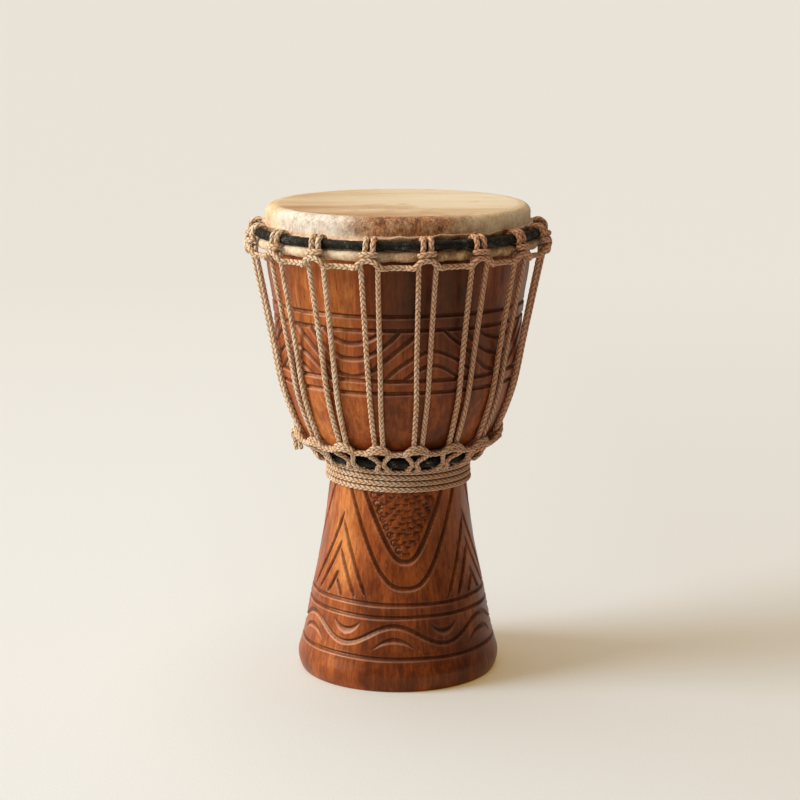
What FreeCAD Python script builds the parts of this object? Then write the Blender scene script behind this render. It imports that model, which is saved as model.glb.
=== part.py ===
"""Rope-tuned djembe (goblet drum): carved wooden shell, goatskin head, three rings and their ropes.

Millimetres. Origin at the centre of the foot, on the floor; +Z up the drum's axis; the front faces -Y.
Every rope is a round tube along straight runs joined by tangent arcs.
Rope points are (across, radius, height): across is measured along the circle, from the station's centre.
"""
import FreeCAD, Part
import math
import os

os.makedirs("parts", exist_ok=True)
Vector = FreeCAD.Vector

# ---- driving dimensions ----
HEIGHT = 400.0                 # floor to the playing surface
STATIONS = 17                  # places around the drum where the ropes are hitched
HALF_STEP = math.pi / STATIONS
ROPE = 4.4                     # diameter of the tuning rope
LASHING = 3.6                  # the same rope where it is pulled tight in a hitch
LASHING_GAP = 0.1
LASHING_STEP = 30              # degrees between a lashing's bends as it goes round a ring
ROPE_GAP = 0.15                # air between a rope and the wood it lies on

# shell: outer outline as (radius, height), from the foot's widest point up to the mouth
FOOT_RADIUS = 84.4
FOOT_WIDEST = (86.2, 14.0)
STEM = [FOOT_WIDEST, (81.6, 30.0), (75.7, 60.0), (67.4, 100.0), (60.8, 140.0), (57.4, 172.0)]
WAIST_RADIUS = 57.4
WAIST_TOP = 192.0
LEDGE_HEIGHT = 198.0           # underside of the bowl, above the lower ring
BOWL = [(78.0, 203.6), (82.9, 212.0), (90.8, 230.0), (97.6, 250.0), (101.8, 270.0), (103.9, 290.0),
        (104.3, 306.0), (106.3, 326.0), (109.6, 346.0), (110.3, 362.0), (109.2, 380.0), (108.9, 391.0)]
MOUTH_TOP = 398.6
MOUTH_EDGE = 102.6             # radius where the bearing edge meets the skin
BORE_FOOT = 70.0               # bore radius at the floor
BORE_NECK = 43.0               # narrowest bore radius
CHAMBER = [(58.0, 205.0), (78.0, 225.0), (89.0, 255.0), (94.0, 290.0), (97.0, 340.0), (97.5, 385.0)]

# turned grooves around the shell: (surface radius, height)
GROOVES = [(105.6, 321.0), (104.4, 309.4), (101.5, 268.3), (99.5, 257.7),
           (73.2, 72.8), (75.3, 62.5), (82.0, 28.5)]
GROOVE_RADIUS = 1.3

# skin
SKIN = 1.2
SKIN_WALL = 110.4              # outer radius of the skin's side wall
SKIN_FLAT = 103.2              # radius of the flat playing surface
COLLAR_TOP = 384.2             # trimmed edge of the skin, above the crown ring
COLLAR = 111.1

# rings: centre radius, centre height, outer tube radius, core tube radius
FLESH_RING = (117.0, 370.4, 3.9, 2.9)
CROWN_RING = (118.6, 378.9, 3.6, 2.4)
LOWER_RING = (66.0, 192.0, 4.3, 2.8)
CORE_PLAY = 0.05               # the cores sit in their wraps with this clearance

# ropes that run round the drum
SWAG = (121.0, 363.2)          # crown loop rope midway between stations
RUN = (80.9, 203.2)            # vertical rope between two stations, at the bowl's lower edge
TIE = (85.4, 203.2)            # tie rope outside that run
LEG_TOP = 6.6                  # half the spacing of a rope pair at the crown
LEG_FOOT = 3.9                 # half the spacing of a rope pair at the lower hitch
WRAP_TOP = 183.6               # waist wrap: centre of the highest turn
WRAP_PITCH = 4.55
WRAP_TURNS = 4
WRAP_SIDES = 24                # arcs in each turn of the wrap
WRAP_ANGLE = 171.0             # degrees from the front to where the winding begins
WRAP_FLARE_TOP = 174.0         # below this height the turns widen with the stem
STEM_FLARE = 0.085             # by this much for each millimetre down
KNOT_ANGLE = -95.3             # degrees from the front to the tie rope's knot


def at(across, radius, height, turn=0.0):
    """Point at a distance across, measured along the circle from the front (-Y) direction."""
    angle = turn + across / radius
    return Vector(radius * math.sin(angle), -radius * math.cos(angle), height)


def tube(points, diameter, bend):
    """Round tube along straight runs joined by tangent arcs of the given bend radius."""
    edges = []
    start = points[0]
    for before, corner, after in zip(points, points[1:], points[2:]):
        into = (corner - before).normalize()
        away = (after - corner).normalize()
        turn = into.getAngle(away)
        if turn < 0.002:
            continue
        shortest = min((corner - before).Length, (after - corner).Length)
        reach = min(bend * math.tan(turn / 2), 0.45 * shortest)
        radius = reach / math.tan(turn / 2)
        inward = (away - into).normalize()
        first = corner - into * reach
        last = corner + away * reach
        middle = corner + inward * (radius / math.cos(turn / 2) - radius)
        edges.append(Part.LineSegment(start, first).toShape())
        edges.append(Part.Arc(first, middle, last).toShape())
        start = last
    edges.append(Part.LineSegment(start, points[-1]).toShape())
    path = Part.Wire(edges)
    section = Part.Wire(Part.makeCircle(diameter / 2, points[0], points[1] - points[0]))
    return path.makePipeShell([section], True, False)


def mirrored(half):
    """A whole path from the half that starts at the station's centre."""
    return [(-across, radius, height) for across, radius, height in reversed(half[1:])] + half


def sector(half, end, diameter, bend):
    """One station's length of a rope that runs on round the drum, ending square to the next one."""
    radius, height = end
    right = [at(*point) for point in half]
    stop = at(HALF_STEP * radius, radius, height)
    along = Vector(math.cos(HALF_STEP), math.sin(HALF_STEP), 0)
    right += [stop - along * 5.0, stop]
    left = [Vector(-point.x, point.y, point.z) for point in reversed(right)]
    middle = 1 if abs(half[0][0]) < 1e-9 else 0
    return tube(left + right[middle:], diameter, bend)


def pressed(rope, *neighbours):
    """A rope flattened where it bears on the pieces it is pulled against."""
    return rope.cut(Part.makeCompound(list(neighbours)))


def around(shape, index):
    """Copy of a shape at one station; the first is half a step right of the front."""
    copy = shape.copy()
    angle = math.degrees(HALF_STEP) * (2 * index + 1)
    copy.rotate(Vector(0, 0, 0), Vector(0, 0, 1), angle)
    return copy


def endless(piece):
    """One closed rope made of a sector at every station."""
    copies = [around(piece, index) for index in range(STATIONS)]
    return copies[0].multiFuse(copies[1:])


def spline(points):
    """Smooth curve through (radius, height) points in the XZ plane."""
    curve = Part.BSplineCurve()
    curve.interpolate([Vector(radius, 0, height) for radius, height in points])
    return curve.toShape()


def line(first, second):
    """Straight edge between two (radius, height) points in the XZ plane."""
    return Part.LineSegment(Vector(first[0], 0, first[1]), Vector(second[0], 0, second[1])).toShape()


def arc(first, middle, last):
    """Arc through three (radius, height) points in the XZ plane."""
    points = [Vector(radius, 0, height) for radius, height in (first, middle, last)]
    return Part.Arc(*points).toShape()


def turned(edges):
    """Solid of revolution about Z from a closed outline."""
    face = Part.Face(Part.Wire(Part.__sortEdges__(edges)))
    return face.revolve(Vector(0, 0, 0), Vector(0, 0, 1), 360)


def ring(radius, height, tube_radius):
    """Torus about the drum's axis."""
    return Part.makeTorus(radius, tube_radius, Vector(0, 0, height))


def make_shell():
    """One piece of wood: foot, stem, waist and bowl, hollow right through."""
    ledge_in = (WAIST_RADIUS + 4.0, LEDGE_HEIGHT)
    ledge_out = (72.5, LEDGE_HEIGHT + 1.2)
    mouth = (BOWL[-1][0], BOWL[-1][1])
    lip = (MOUTH_EDGE - 4.0, MOUTH_TOP - 2.2)
    neck_low, neck_high = (BORE_NECK, 150.0), (BORE_NECK, 186.0)
    edges = [
        line((BORE_FOOT, 0), (FOOT_RADIUS - 1.0, 0)),
        arc((FOOT_RADIUS - 1.0, 0), (FOOT_RADIUS + 0.6, 3.4), FOOT_WIDEST),
        spline(STEM),
        line(STEM[-1], (WAIST_RADIUS, WAIST_TOP)),
        arc((WAIST_RADIUS, WAIST_TOP), (WAIST_RADIUS + 1.2, WAIST_TOP + 4.7), ledge_in),
        line(ledge_in, ledge_out),
        arc(ledge_out, (75.8, 200.8), BOWL[0]),
        spline(BOWL),
        arc(mouth, (107.2, 396.2), (MOUTH_EDGE, MOUTH_TOP)),
        line((MOUTH_EDGE, MOUTH_TOP), lip),
        line(lip, CHAMBER[-1]),
        spline(CHAMBER),
        arc(CHAMBER[0], (46.5, 197.0), neck_high),
        line(neck_high, neck_low),
        arc(neck_low, (51.5, 70.0), (BORE_FOOT, 0)),
    ]
    grooves = [ring(radius, height, GROOVE_RADIUS) for radius, height in GROOVES]
    return turned(edges).cut(Part.makeCompound(grooves))


def make_skin():
    """Goatskin: playing surface, rounded edge, side wall and the fold around the flesh ring."""
    ring_radius, ring_height, wrap, core = FLESH_RING
    inner = SKIN_WALL - SKIN
    under = HEIGHT - SKIN
    tuck = (ring_radius - 0.7 * wrap, ring_height + 0.714 * wrap)
    bottom = (ring_radius, ring_height - wrap)
    edges = [
        line((0, HEIGHT), (SKIN_FLAT, HEIGHT)),
        arc((SKIN_FLAT, HEIGHT), (108.7, 397.6), (SKIN_WALL, 391.6)),
        line((SKIN_WALL, 391.6), (SKIN_WALL, COLLAR_TOP)),
        line((SKIN_WALL, COLLAR_TOP), (COLLAR, COLLAR_TOP)),
        line((COLLAR, COLLAR_TOP), (COLLAR, 377.4)),
        line((COLLAR, 377.4), tuck),
        arc(tuck, (ring_radius + wrap, ring_height), bottom),
        line(bottom, (inner + 1.6, bottom[1] + 0.2)),
        line((inner + 1.6, bottom[1] + 0.2), (inner + 1.6, 369.0)),
        line((inner + 1.6, 369.0), (inner, 381.0)),
        line((inner, 381.0), (inner, 391.5)),
        arc((inner, 391.5), (107.7, 396.8), (SKIN_FLAT, under)),
        line((SKIN_FLAT, under), (0, under)),
        line((0, under), (0, HEIGHT)),
    ]
    return turned(edges).cut(ring(ring_radius, ring_height, core + CORE_PLAY))


def vertical_sector():
    """The tuning rope: up, over the crown loop rope, down, and on to the next station."""
    half = [(0, 121.9, 367.4), (4.4, 122.1, 368.0), (6.8, 124.6, 369.0), (7.1, 126.9, 366.4),
            (7.0, 125.9, 362.6), (LEG_TOP, 122.5, 357.0), (5.3, 106.6, 284.0), (5.1, 104.3, 270.0),
            (4.8, 100.3, 250.0), (4.4, 93.5, 230.0), (4.0, 85.7, 212.0), (LEG_FOOT, 83.8, 207.6),
            (6.0, 81.4, 203.6)]
    return sector(half, RUN, ROPE, 4.0)


def crown_loop_sector():
    """Swags from station to station, rising to an arch that the vertical rope hangs from."""
    half = [(0, 126.6, 367.2), (3.2, 126.2, 366.8), (5.6, 123.0, 364.6), (8.4, 120.2, 363.2)]
    return sector(half, SWAG, ROPE, 3.4)


def tie_sector():
    """Rope tied round the foot of the rope pairs, humping over each pair."""
    half = [(0, 88.1, 207.9), (4.4, 87.9, 207.5), (9.6, 85.8, 203.4)]
    return sector(half, TIE, ROPE, 4.0)


def round_ring(settings, degrees, across):
    """Path point of a lashing at an angle round a ring's section; 0 faces outwards, 90 up."""
    radius, height, wrap, core = settings
    reach = (wrap + LASHING / 2 + LASHING_GAP) / math.cos(math.radians(LASHING_STEP / 2))
    angle = math.radians(degrees)
    return across, radius + reach * math.cos(angle), height + reach * math.sin(angle)


def make_crown_hitch():
    """Hitch on the crown ring: two strands over the ring, joined behind it, and a bar across them."""
    half = [round_ring(CROWN_RING, degrees, 3.0) for degrees in range(180, -1, -LASHING_STEP)]
    half[0] = (0, half[0][1], half[0][2])
    half.insert(1, (3.0, half[0][1], half[0][2]))
    half += [(3.1, 123.6, 375.0), (3.3, 123.4, 371.0)]
    bar = mirrored([(0, 127.5, 372.6), (3.4, 127.3, 372.5), (5.6, 126.2, 372.3)])
    loop = tube([at(*point) for point in mirrored(half)], LASHING, 2.6)
    return Part.makeCompound([loop, tube([at(*point) for point in bar], LASHING, 4.0)])


def make_lower_hitch():
    """Hitch on the lower ring: two arms from the tie rope, two strands round the ring, joined behind."""
    half = [round_ring(LOWER_RING, degrees, 2.9) for degrees in range(-180, 1, LASHING_STEP)]
    half[0] = (0, half[0][1], half[0][2])
    half.insert(1, (2.6, half[0][1], half[0][2]))
    half += [(2.3, 74.0, 195.6), (5.2, 78.6, 198.2), (7.6, 82.6, 199.3)]
    return tube([at(*point) for point in mirrored(half)], LASHING, 2.6)


def make_waist_wrap():
    """The spare rope wound round the waist; at the back both ends rise to the lower ring."""
    reach = WAIST_RADIUS + ROPE_GAP + ROPE / 2
    start = math.radians(WRAP_ANGLE)
    points = [at(-5.2, 60.0, 188.0, start), at(-3.8, 60.0, 185.4, start)]
    for step in range(WRAP_TURNS * WRAP_SIDES - 1):
        turn = start + 2 * math.pi * step / WRAP_SIDES
        height = WRAP_TOP - WRAP_PITCH * step / WRAP_SIDES
        flare = STEM_FLARE * max(0.0, WRAP_FLARE_TOP - height)
        points.append(at(0, (reach + flare) / math.cos(math.pi / WRAP_SIDES), height, turn))
    low = WRAP_TOP - WRAP_PITCH * WRAP_TURNS
    tuck = [(-15.0, 60.9, low), (-11.0, 63.7, low + 1.0), (-8.0, 65.0, low + 5.0),
            (-4.0, 64.6, low + 13.0), (-2.5, 64.6, low + 19.4)]
    points += [at(across, radius, height, start) for across, radius, height in tuck]
    return tube(points, ROPE, 2 * reach)


def make_knot():
    """Overhand knot that joins the tie rope's ends, with its short stub."""
    turn = math.radians(KNOT_ANGLE)
    loop = []
    for step in range(9):
        angle = 2 * math.pi * step / 8
        loop.append(at(-1.0 + step, 91.2 + 2.6 * math.cos(angle), 206.0 + 4.4 * math.sin(angle), turn))
    stub = [(0, 90.6, 205.0), (0.6, 91.8, 199.0), (1.2, 91.0, 193.0)]
    coil = tube(loop, ROPE, 3.0)
    return coil.fuse(tube([at(*point, turn) for point in stub], ROPE, 6.0))


def save(name, shape):
    """Write one node."""
    shape.exportStep("parts/" + name + ".step")
    print(name, "valid", shape.isValid(), "solids", len(shape.Solids), "volume", round(shape.Volume))


shell = make_shell()
skin = make_skin()
rings = {}
for name, (radius, height, wrap, core) in (("crown_ring", CROWN_RING), ("lower_ring", LOWER_RING)):
    rings[name] = ring(radius, height, core)
    rings[name + "_wrap"] = ring(radius, height, wrap).cut(ring(radius, height, core + CORE_PLAY))
flesh_ring = ring(FLESH_RING[0], FLESH_RING[1], FLESH_RING[3])
waist_wrap = make_waist_wrap()

# one station's ropes, from the innermost outwards
vertical = pressed(vertical_sector(), skin)
crown_loop = pressed(crown_loop_sector(), vertical)
tie = pressed(tie_sector(), vertical)
crown_hitch = make_crown_hitch()
lower_hitch = make_lower_hitch()

save("shell", shell)
save("skin", skin)
save("flesh_ring", flesh_ring)
for name, shape in rings.items():
    save(name, shape)
save("vertical_rope", endless(vertical))
save("crown_loop_rope", endless(crown_loop))
save("tie_rope", endless(tie).fuse(make_knot()))
save("waist_wrap", waist_wrap)
for index in range(STATIONS):
    save("crown_hitch_%02d" % (index + 1), around(crown_hitch, index))
    save("lower_hitch_%02d" % (index + 1), around(lower_hitch, index))
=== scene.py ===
"""Looks of the rope-tuned djembe: carved wood, goatskin, cloth-bound rings and plaited rope.

Metres in Blender; drum sizes below are in millimetres, like the CAD part's, and scaled by MM.
The drum's front faces -Y. Angles run from the front, positive towards +X.
"""

import math

import bpy
import numpy as np
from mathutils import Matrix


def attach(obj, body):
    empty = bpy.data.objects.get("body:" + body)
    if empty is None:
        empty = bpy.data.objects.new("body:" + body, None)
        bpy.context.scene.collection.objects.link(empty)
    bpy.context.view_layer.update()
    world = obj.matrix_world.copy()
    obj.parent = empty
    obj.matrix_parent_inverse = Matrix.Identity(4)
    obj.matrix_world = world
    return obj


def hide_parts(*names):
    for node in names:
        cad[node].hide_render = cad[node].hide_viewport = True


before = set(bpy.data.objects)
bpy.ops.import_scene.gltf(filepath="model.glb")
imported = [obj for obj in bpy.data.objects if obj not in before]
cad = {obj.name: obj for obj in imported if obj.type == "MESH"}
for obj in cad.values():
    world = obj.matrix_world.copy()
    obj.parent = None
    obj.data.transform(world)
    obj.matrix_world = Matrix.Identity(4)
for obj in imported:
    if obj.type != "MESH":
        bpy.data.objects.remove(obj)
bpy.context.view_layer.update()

MM = 0.001
rng = np.random.default_rng(17)

# ---- camera ----
camera_data = bpy.data.cameras.new("camera")
camera_data.lens = 95.6
camera_data.sensor_width = 36.0
camera_data.clip_end = 100.0
camera = bpy.data.objects.new("camera", camera_data)
camera.location = (0.0017, -1.767, 0.600)
camera.rotation_euler = (math.radians(78.22), 0.0, 0.0)
bpy.context.scene.collection.objects.link(camera)
bpy.context.scene.camera = camera

# ---- sizes shared with the CAD part, in mm ----
STATIONS = 17
HALF_STEP = math.pi / STATIONS
ROPE = 2.2                     # radius of the tuning rope
SNUG = 1.9                     # from a ring's surface to the middle of a hitch strand that lies on it
# outlines as (radius, height)
STEM = [(86.2, 14.0), (81.6, 30.0), (75.7, 60.0), (67.4, 100.0), (60.8, 140.0), (57.4, 172.0)]
BOWL = [(78.0, 203.6), (82.9, 212.0), (90.8, 230.0), (97.6, 250.0), (101.8, 270.0), (103.9, 290.0),
        (104.3, 306.0), (106.3, 326.0), (109.6, 346.0), (110.3, 362.0), (109.2, 380.0), (108.9, 391.0)]
CHAMBER = [(58.0, 205.0), (78.0, 225.0), (89.0, 255.0), (94.0, 290.0), (97.0, 340.0), (97.5, 385.0)]
# rings as (radius, height, radius of the wrapped rod)
FLESH_RING = (117.0, 370.4, 3.9)
CROWN_RING = (118.6, 378.9, 3.6)
LOWER_RING = (66.0, 192.0, 4.3)
BOWL_GROOVES = (321.0, 309.4, 268.3, 257.7)    # heights, like the next
STEM_GROOVES = (72.8, 62.5, 28.5)
WAIST = 57.4                   # radius of the wood at the waist
MOUTH = (108.9, 391.0)         # radius and height where the bowl's rim starts
PASSAGE = 43.0                 # radius of the hollow at its narrowest
SEAM = 187.0                   # height where the two wood meshes meet, under the lower ring


# ---- shapes ----
def smooth_step(low, high, value):
    """0 below low, 1 above high, smooth between."""
    t = np.clip((value - low) / (high - low), 0.0, 1.0)
    return t * t * (3.0 - 2.0 * t)


def natural_spline(points):
    """Function radius(height) through (radius, height) points."""
    r, z = np.array(points).T
    gap = np.diff(z)
    count = len(z)
    system = np.eye(count)
    target = np.zeros(count)
    for i in range(1, count - 1):
        system[i, i - 1:i + 2] = gap[i - 1], 2 * (gap[i - 1] + gap[i]), gap[i]
        target[i] = 6 * ((r[i + 1] - r[i]) / gap[i] - (r[i] - r[i - 1]) / gap[i - 1])
    bend = np.linalg.solve(system, target)

    def radius(height):
        i = np.clip(np.searchsorted(z, height) - 1, 0, count - 2)
        a = (z[i + 1] - height) / gap[i]
        b = 1.0 - a
        curve = ((a ** 3 - a) * bend[i] + (b ** 3 - b) * bend[i + 1]) * gap[i] ** 2 / 6
        return a * r[i] + b * r[i + 1] + curve

    return radius


def arc(first, middle, last, count):
    """Points on the circle through three (radius, height) points, ends left out."""
    a, b, c = (complex(*point) for point in (first, middle, last))
    ratio = (c - a) / (b - a)
    centre = a + (b - a) * (ratio - abs(ratio) ** 2) / (2j * ratio.imag)
    half, sweep = (np.angle((point - centre) / (a - centre)) for point in (b, c))
    if half * sweep < 0:
        sweep -= math.copysign(2 * math.pi, sweep)
    points = centre + (a - centre) * np.exp(1j * sweep * np.linspace(0, 1, count + 2)[1:-1])
    return list(zip(points.real, points.imag))


def add_grid(name, points, uv=None, close_rows=False, caps=False):
    """Smooth mesh object from a (rows, columns, 3) grid in mm whose columns wrap round.

    uv is each row's place along the mesh and an offset round it.
    """
    rows, columns = points.shape[:2]
    vertices = points.reshape(-1, 3)
    here = np.arange(rows * columns).reshape(rows, columns)
    if close_rows:
        here = np.vstack([here, here[:1]])
    right = np.roll(here, -1, axis=1)
    quads = np.stack([here[:-1], right[:-1], right[1:], here[1:]], axis=-1).reshape(-1, 4)
    faces = [quads.ravel()]
    sizes = [np.full(len(quads), 4)]
    if caps:
        first, last = rows * columns, rows * columns + 1
        vertices = np.vstack([vertices, points[0].mean(0), points[-1].mean(0)])
        low = np.stack([np.full(columns, first), right[0], here[0]], axis=-1)
        high = np.stack([np.full(columns, last), here[-1], right[-1]], axis=-1)
        faces += [low.ravel(), high.ravel()]
        sizes += [np.full(2 * columns, 3)]
    corners = np.concatenate(faces)
    sizes = np.concatenate(sizes)
    mesh = bpy.data.meshes.new(name)
    mesh.vertices.add(len(vertices))
    mesh.vertices.foreach_set("co", (vertices * MM).astype(np.float32).ravel())
    mesh.loops.add(len(corners))
    mesh.loops.foreach_set("vertex_index", corners.astype(np.int32))
    mesh.polygons.add(len(sizes))
    starts = np.concatenate([[0], np.cumsum(sizes)[:-1]])
    mesh.polygons.foreach_set("loop_start", starts.astype(np.int32))
    mesh.polygons.foreach_set("use_smooth", np.ones(len(sizes), bool))
    if uv is not None:
        along, offset = uv
        turn = np.tile(np.arange(columns) / columns, (len(here) - 1, 1)) + offset
        next_turn = turn + 1 / columns
        low = np.tile(along[:-1, None], (1, columns))
        high = np.tile(along[1:, None], (1, columns))
        coordinates = np.stack([np.stack(pair, -1) for pair in (
            (turn, low), (next_turn, low), (next_turn, high), (turn, high))], axis=2)
        coordinates = coordinates.reshape(-1, 2)
        if caps:
            for end in (along[0], along[-1]):
                coordinates = np.vstack([coordinates, np.tile([0.5, end], (3 * columns, 1))])
        layer = mesh.uv_layers.new(name="UVMap")
        layer.data.foreach_set("uv", coordinates.astype(np.float32).ravel())
    mesh.update(calc_edges=True)
    mesh.validate()
    thing = bpy.data.objects.new(name, mesh)
    bpy.context.scene.collection.objects.link(thing)
    return thing


def add_attributes(thing, **named):
    """Per-vertex numbers that the materials read."""
    for name, values in named.items():
        layer = thing.data.attributes.new(name, "FLOAT", "POINT")
        full = np.zeros(len(thing.data.vertices), np.float32)
        full[:values.size] = values.ravel()
        layer.data.foreach_set("value", full)


def round_angles(columns):
    """Angles of the columns round the drum, from the front."""
    return 2 * math.pi * np.arange(columns) / columns


def turned(outline, columns, push=0.0):
    """Grid of points from an outline of (radius, height), pushed outwards by push (rows, columns)."""
    outline = np.array(outline)
    angle = round_angles(columns)
    radius = np.tile(outline[:, :1], (1, columns)) + push
    height = np.tile(outline[:, 1:2], (1, columns))
    return np.stack([radius * np.sin(angle), -radius * np.cos(angle), height], axis=-1)


def signed(degrees):
    """The same angles between -180 and 180."""
    return (degrees + 180) % 360 - 180


def wander(angle, seed, waves, size):
    """Smooth closed random line round the drum, from its lowest waves."""
    dice = np.random.default_rng(seed)
    total = np.zeros_like(angle)
    for wave in waves:
        total += dice.normal() * np.cos(wave * angle + dice.uniform(0, 2 * math.pi))
    return size * total / math.sqrt(len(waves))


def fit(thing, material, slot, *nodes):
    """Finish a piece and set it in place of its CAD nodes."""
    thing.data.materials.clear()
    thing.data.materials.append(material)
    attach(thing, "root")
    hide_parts(*nodes)


# ---- carving ----
STEM_COLUMNS = 720
BOWL_COLUMNS = 960
FOOT_ROWS = 9                  # rows of the foot's rounded edge, which nothing may swell


class Carving:
    """Cuts on a patch of the turned wood: depth and lips in mm, dark and light shares from 0 to 1; dark is
    stain with painted shade, light is a painted highlight.
    """

    def __init__(self, outline, columns):
        radius, height = np.array(outline).T
        self.angle = np.tile(round_angles(columns), (len(height), 1))
        self.height = np.tile(height[:, None], (1, columns))
        self.radius = np.tile(radius[:, None], (1, columns))
        self.depth, self.raised, self.dark, self.light = np.zeros((4, *self.angle.shape))

    def cut(self, near, away, lean, half, depth):
        """V cut at distances away from its line; lean is 1 above the line, where its wall is steep."""
        wall = half * (1 - 0.3 * lean)
        inner = np.clip(1 - away / wall, 0, 1)
        lip = np.exp(-((away / wall - 1.05) / 0.26) ** 2)
        self.depth[near] = np.maximum(self.depth[near], depth * inner ** 0.85)
        self.raised[near] = np.maximum(self.raised[near], 0.14 * depth * lip)
        # dark: stain with painted shade, deepest in the cut and strongest on the steep upper wall
        self.dark[near] = np.maximum(self.dark[near], inner ** 0.4 * (0.8 + 0.2 * lean))
        # light: painted highlight on the lower lip, where the wall faces up
        self.light[near] = np.maximum(self.light[near], lip * (0.35 - 0.65 * lean))

    def groove(self, line, width, depth, taper=0.0, shift=0.0):
        """Cut along a line of (degrees, height) points; taper is the pointed share of each end."""
        line = np.array(line, float)
        line[:, 0] = np.radians(line[:, 0] + shift)
        steps = np.hypot(np.diff(line[:, 0]) * self.radius.mean(), np.diff(line[:, 1]))
        walked = np.concatenate([[0.0], np.cumsum(steps)]) / steps.sum()
        reach = 1.2 * width
        for i in range(len(line) - 1):
            (a0, z0), (a1, z1) = line[i], line[i + 1]
            middle = (a0 + a1) / 2
            offset = (self.angle - middle + math.pi) % (2 * math.pi) - math.pi
            near = (np.abs(offset) * self.radius < abs(a1 - a0) / 2 * self.radius + reach)
            near &= (self.height > min(z0, z1) - reach) & (self.height < max(z0, z1) + reach)
            if not near.any():
                continue
            r = self.radius[near]
            px, qx = (a0 - middle - offset[near]) * r, (a1 - middle - offset[near]) * r
            pz, qz = z0 - self.height[near], z1 - self.height[near]
            dx, dz = qx - px, qz - pz
            t = np.clip(-(px * dx + pz * dz) / (dx * dx + dz * dz), 0, 1)
            away = np.hypot(px + t * dx, pz + t * dz)
            lean = -(pz + t * dz) / np.maximum(away, 0.05)
            half = width / 2
            if taper:
                place = walked[i] + t * (walked[i + 1] - walked[i])
                half = half * np.clip(np.minimum(place, 1 - place) / taper, 0.03, 1) ** 0.6
            self.cut(near, away, lean, half, depth * (half / (width / 2)))

    def turned_groove(self, height, width, depth):
        """Cut right round the drum."""
        level = height + 0.25 * np.sin(3 * self.angle + height) + 0.15 * np.sin(7 * self.angle)
        away = np.abs(self.height - level)
        self.cut(slice(None), away, np.sign(self.height - level), width / 2, depth)

    def push(self):
        """Movement of the surface outwards."""
        return np.where(self.depth > 0.02, -self.depth, self.raised)


def smooth_line(points, steps=6):
    """Curve through a few points, with steps between each two."""
    points = np.array(points, float)
    ends = np.vstack([2 * points[0] - points[1], points, 2 * points[-1] - points[-2]])
    result = []
    for p0, p1, p2, p3 in zip(ends, ends[1:], ends[2:], ends[3:]):
        for t in np.arange(steps) / steps:
            result.append(0.5 * (2 * p1 + (p2 - p0) * t + (2 * p0 - 5 * p1 + 4 * p2 - p3) * t ** 2
                                 + (3 * p1 - p0 - 3 * p2 + p3) * t ** 3))
    result.append(points[-1])
    return np.array(result)


def symmetric(half):
    """Whole curve from the half that starts on its axis."""
    left = [(-across, height) for across, height in reversed(half[1:])]
    return smooth_line(left + half)


# half figures from their axis out, as (degrees, height)
LARGE_BOWL = [(0, 271), (8, 275), (15, 285), (22, 295.5), (28, 304), (31, 309.4)]
MIDDLE_BOWL = [(0, 286), (6, 287.5), (12, 293), (18, 301.5), (22, 309.4)]
SMALL_BOWL = [(0, 298.5), (5, 299.8), (10, 303.5), (14, 309.4)]
OUTER_HILL = [(0, 292.5), (5, 290.5), (11, 285), (17, 277.5), (22.6, 268.3)]
INNER_HILL = [(0, 280.8), (5, 278.5), (10, 273), (13.4, 268.3)]
OUTER_U = [(0, 86), (6, 86.8), (12, 91), (20, 103), (31, 127), (46, 162), (51, 174)]
INNER_U = [(0, 108), (4, 108.8), (9, 114), (15, 125), (24, 144.5), (33, 164), (38, 175)]
FOOT_BOWL = [(0, 49.8), (5, 51.5), (10, 56.8)]
FOOT_HILL = [(0, 44.2), (7, 41.8), (14, 34.6)]
U_CENTRES = (5.5, 122.0, -112.0)
CHEVRON_AXES = (-50.0, 60.5, -175.0)
CHEVRONS = ((138.5, 27.5), (114.0, 18.5), (88.5, 7.5))    # height of the tip, reach in degrees
CHEVRON_FOOT = 74.6            # height where their arms end
BAND_REPEATS = 5
FOOT_REPEATS = 6
CHIP_ROWS, CHIP_COLUMNS = 12, 13
CHIP_STEP, CHIP_RISE = 6.6, 5.0


def carve_bowl(carving):
    """Hanging crescents between hills, in the band round the bowl."""
    for height in BOWL_GROOVES:
        carving.turned_groove(height, 4.0, 1.7)
    for number in range(BAND_REPEATS):
        turn = 360 / BAND_REPEATS * number
        hanging = -21.0 + turn + 1.5 * math.sin(2.3 * number)
        for half, width in ((LARGE_BOWL, 4.8), (MIDDLE_BOWL, 4.6), (SMALL_BOWL, 4.4)):
            carving.groove(symmetric(half), width, 1.6, shift=hanging)
        hill = 16.0 + turn + 1.2 * math.sin(1.7 * number)
        for half, width in ((OUTER_HILL, 4.4), (INNER_HILL, 4.2)):
            carving.groove(symmetric(half), width, 1.5, shift=hill)


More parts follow.
